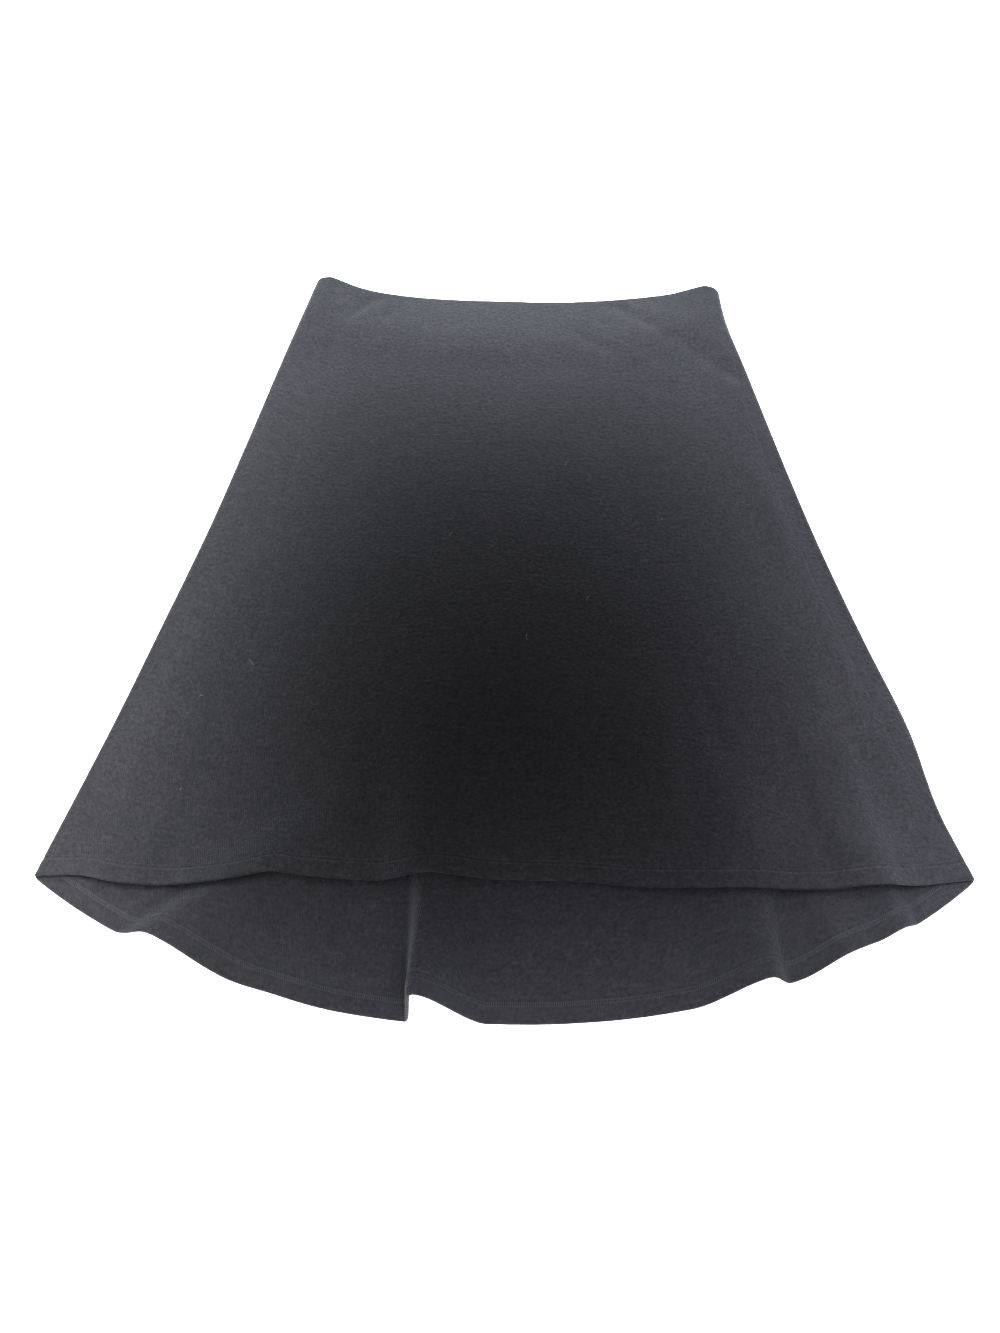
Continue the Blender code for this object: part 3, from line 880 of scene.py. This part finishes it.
def studio_paper(colours):
    """White background paper under even light. It gives the eye plain white with the faintest tooth."""
    material, tree, shader = new_material("studio_paper")
    place = add_node(tree, "ShaderNodeTexCoord").outputs["Object"]
    tooth = noise_at(tree, place, 0.02, 3.0)
    shade = between(tree, tooth, 0.99, 1.01)
    tint = add_node(tree, "ShaderNodeVectorMath", [(0, colours.paper), ("Scale", shade)], operation="SCALE")
    tree.links.new(tint.outputs[0], shader.inputs["Base Color"])
    shader.inputs["Roughness"].default_value = 0.9
    shader.inputs["Emission Color"].default_value = (1.0, 1.0, 1.0, 1.0)
    shader.inputs["Emission Strength"].default_value = PAPER_GLOW
    return material


def material_for(name, make, *details):
    """The material of this name, made the first time that it is asked for."""
    return bpy.data.materials.get(name) or make(*details)


def panel(name, node, rows, columns, flat, shaped, hem_down, side_up):
    sizes, colours = bpy.context.scene.skirt_sizes, bpy.context.scene.skirt_colours
    face = panel_face(sizes, rows, columns, flat, shaped, hem_down, side_up)
    turned = smooth((HEM_DEPTH + HEM_STEP - face.from_hem) / HEM_STEP)
    depth = sizes.cloth + (sizes.hem - sizes.cloth) * turned
    inset = rounded(face, depth, sizes.cloth / 2, sizes.hem / 2)
    beside = (face.from_hem - HEM_STITCH_UP - sizes.needle_gap / 2) / HEM_FURROW_WIDTH
    furrow = HEM_FURROW * np.exp(-(beside**2)) if side_up < 0.0 else 0.0
    outer = face.points + (inset + furrow)[..., None] * face.inward
    inner = face.points + (depth - inset)[..., None] * face.inward
    jersey = material_for("double_knit_jersey", double_knit_jersey, sizes, colours)
    piece = wall(name, outer, inner, face.flat, side_up, jersey)
    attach(piece, "root")
    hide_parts(node)
    return face


def waistband(name, node, face, side_up):
    """Makes the half of the waistband that lies against one panel's inner side."""
    sizes, colours = bpy.context.scene.skirt_sizes, bpy.context.scene.skirt_colours
    kept = face.from_waist[:, 0] <= BAND_DEPTH + LEAST_STEP / 10
    top = Face(*(part[kept] for part in face))
    top = top._replace(from_hem=top.from_waist[-1:] - top.from_waist)
    depth = np.full(top.from_waist.shape, sizes.band)
    inset = rounded(top, depth, sizes.band / 2, sizes.band / 2)
    near = sizes.cloth + FRAME_GAP
    outer = top.points + (near + inset)[..., None] * top.inward
    inner = top.points + (near + depth - inset)[..., None] * top.inward
    elastic = material_for("covered_elastic", covered_elastic, sizes, colours)
    piece = wall(name, outer, inner, top.flat, side_up, elastic)
    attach(piece, "root")
    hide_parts(node)


def sewn_hem(name, face):
    """Sews one hem: its straight stitches outside and its looper thread inside."""
    sizes, colours = bpy.context.scene.skirt_sizes, bpy.context.scene.skirt_colours
    thread = material_for("spun_thread", spun_thread, colours)
    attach(stitch_rows(f"{name}_hem_stitches", face, sizes, thread), "root")
    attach(ladder(f"{name}_hem_ladder", face, sizes, thread), "root")


class SKIRT_OT_back(bpy.types.Operator):
    """Makes the back panel with its standing folds, its half of the waistband and its sewn hem"""

    bl_idname = "skirt.back"
    bl_label = "Back panel"

    def execute(self, context):
        face = panel(
            "back_cloth", "back_panel", BACK_ROWS, back_columns(), back_flat, back_shaped, back_hem_down, 1.0,
        )
        waistband("back_band", "back_waistband", face, 1.0)
        sewn_hem("back", face)
        return {"FINISHED"}


class SKIRT_OT_front(bpy.types.Operator):
    """Makes the front panel, its half of the waistband and its sewn hem"""

    bl_idname = "skirt.front"
    bl_label = "Front panel"

    def execute(self, context):
        face = panel(
            "front_cloth", "front_panel", FRONT_ROWS, front_columns(), front_flat, front_shaped, front_hem_down,
            -1.0,
        )
        waistband("front_band", "front_waistband", face, -1.0)
        sewn_hem("front", face)
        return {"FINISHED"}


# Pale fibres that cling to the front: where each lies, which way it points, and its length
Fibre = namedtuple("Fibre", "x down angle length")
FIBRES = (
    Fibre(-0.235, 0.464, 20.0, 0.0030),
    Fibre(-0.238, 0.545, 75.0, 0.0022),
    Fibre(-0.201, 0.431, -50.0, 0.0060),
    Fibre(0.043, 0.221, 80.0, 0.0034),
    Fibre(0.122, 0.280, 10.0, 0.0024),
    Fibre(0.060, 0.363, 65.0, 0.0046),
    Fibre(-0.052, 0.300, 70.0, 0.0042),
    Fibre(0.012, 0.402, 95.0, 0.0050),
)
FIBRE_BOW = 0.0006
FIBRE_RADIUS = 0.00009


class SKIRT_OT_lint(bpy.types.Operator):
    """Lays the few pale fibres that cling to the front"""

    bl_idname = "skirt.lint"
    bl_label = "Lint"

    def execute(self, context):
        mesh = bmesh.new()
        for fibre in FIBRES:
            share = np.linspace(-0.5, 0.5, 6)
            angle = math.radians(fibre.angle)
            bow = FIBRE_BOW * np.cos(math.pi * share)
            x = fibre.x + fibre.length * share * math.cos(angle) - bow * math.sin(angle)
            down = fibre.down - fibre.length * share * math.sin(angle) - bow * math.cos(angle)
            height = front_height(x, down, context.scene.skirt_sizes.creasing) + 2.0 * FIBRE_RADIUS
            places = np.stack([x - ORIGIN.x, ORIGIN.down - down, height], axis=-1)
            tube(mesh, places, np.tile((0.0, 0.0, -1.0), (len(share), 1)), FIBRE_RADIUS)
        fibre_looks = material_for("loose_fibre", loose_fibre, context.scene.skirt_colours)
        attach(thread_piece("lint", mesh, fibre_looks), "root")
        return {"FINISHED"}


# The soft lights: six hang low over the skirt's edges and one hangs high above. spread, in degrees, bounds
# the pool of light under each, and power is in watts.
Lamp = namedtuple("Lamp", "name place turn size spread power tint")
LAMPS = (
    Lamp("waist_light", (0.00, 0.38, 0.20), 0.0, (0.38, 0.08), 146.0, 2.60, "f4f7ff"),
    Lamp("left_light", (-0.280, 0.07, 0.13), -13.0, (0.06, 0.48), 140.0, 1.05, "fbfcff"),
    Lamp("right_light", (0.275, 0.07, 0.13), 13.0, (0.06, 0.48), 146.0, 0.85, "f6f7ff"),
    Lamp("left_hem_light", (-0.37, -0.28, 0.22), 0.0, (0.14, 0.22), 125.0, 1.15, "fdfdff"),
    Lamp("right_hem_light", (0.37, -0.28, 0.22), 0.0, (0.14, 0.22), 125.0, 0.92, "f6f7ff"),
    Lamp("hem_light", (0.00, -0.50, 0.26), 0.0, (0.55, 0.12), 108.0, 2.10, "f8f8ff"),
    Lamp("high_light", (0.00, 0.00, 2.20), 0.0, (1.60, 1.60), 180.0, 6.0, "ffffff"),
)
PAPER_GLOW = 1.0
AIR_GLOW = 0.22


class SKIRT_OT_studio(bpy.types.Operator):
    """Makes the white paper, the soft lights and the camera"""

    bl_idname = "skirt.studio"
    bl_label = "Studio"

    def execute(self, context):
        bpy.ops.object.select_all(action="DESELECT")
        bpy.ops.mesh.primitive_plane_add(size=8.0, location=(0.0, 0.0, -0.0003))
        paper = context.object
        paper.name = "paper"
        paper.data.materials.append(material_for("studio_paper", studio_paper, context.scene.skirt_colours))
        for lamp in LAMPS:
            rotation = (0.0, 0.0, math.radians(lamp.turn))
            bpy.ops.object.light_add(type="AREA", location=lamp.place, rotation=rotation)
            light = context.object
            light.name = lamp.name
            light.visible_camera = False
            light.data.shape = "RECTANGLE"
            light.data.size, light.data.size_y = lamp.size
            light.data.spread = math.radians(lamp.spread)
            light.data.energy = lamp.power
            light.data.color = linear(lamp.tint)
        pitch = math.radians(90.0 - CAMERA_PITCH)
        place = (CAMERA_FOOT[0], ORIGIN.down + CAMERA_FOOT[1], CAMERA_HEIGHT)
        bpy.ops.object.camera_add(location=place, rotation=(pitch, 0.0, math.radians(CAMERA_TURN)))
        camera = context.object
        camera.name = "camera"
        camera.data.sensor_width = SENSOR
        camera.data.lens = SENSOR * FOCAL_PIXELS / FRAME_HEIGHT
        context.scene.camera = camera
        world = bpy.data.worlds.new("studio_air")
        world.use_nodes = True
        world.node_tree.nodes["Background"].inputs["Color"].default_value = (1.0, 1.0, 1.0, 1.0)
        world.node_tree.nodes["Background"].inputs["Strength"].default_value = AIR_GLOW
        context.scene.world = world
        context.scene.view_settings.view_transform = "Standard"
        return {"FINISHED"}


class SKIRT_PT_pieces(bpy.types.Panel):
    bl_idname = "SKIRT_PT_pieces"
    bl_label = "Skirt"
    bl_space_type = "VIEW_3D"
    bl_region_type = "UI"
    bl_category = "Skirt"

    def draw(self, context):
        for settings in (context.scene.skirt_sizes, context.scene.skirt_colours):
            for name in settings.__annotations__:
                self.layout.prop(settings, name)
        for piece in PIECES:
            self.layout.operator(piece.bl_idname)


PIECES = (SKIRT_OT_back, SKIRT_OT_front, SKIRT_OT_lint, SKIRT_OT_studio)
CLASSES = (SkirtSizes, SkirtColours, *PIECES, SKIRT_PT_pieces)


def register():
    for item in CLASSES:
        bpy.utils.register_class(item)
    bpy.types.Scene.skirt_sizes = bpy.props.PointerProperty(type=SkirtSizes)
    bpy.types.Scene.skirt_colours = bpy.props.PointerProperty(type=SkirtColours)


def unregister():
    del bpy.types.Scene.skirt_colours
    del bpy.types.Scene.skirt_sizes
    for item in reversed(CLASSES):
        bpy.utils.unregister_class(item)


def main():
    register()
    bpy.ops.skirt.back()
    bpy.ops.skirt.front()
    bpy.ops.skirt.lint()
    bpy.ops.skirt.studio()


if __name__ == "__main__":
    main()
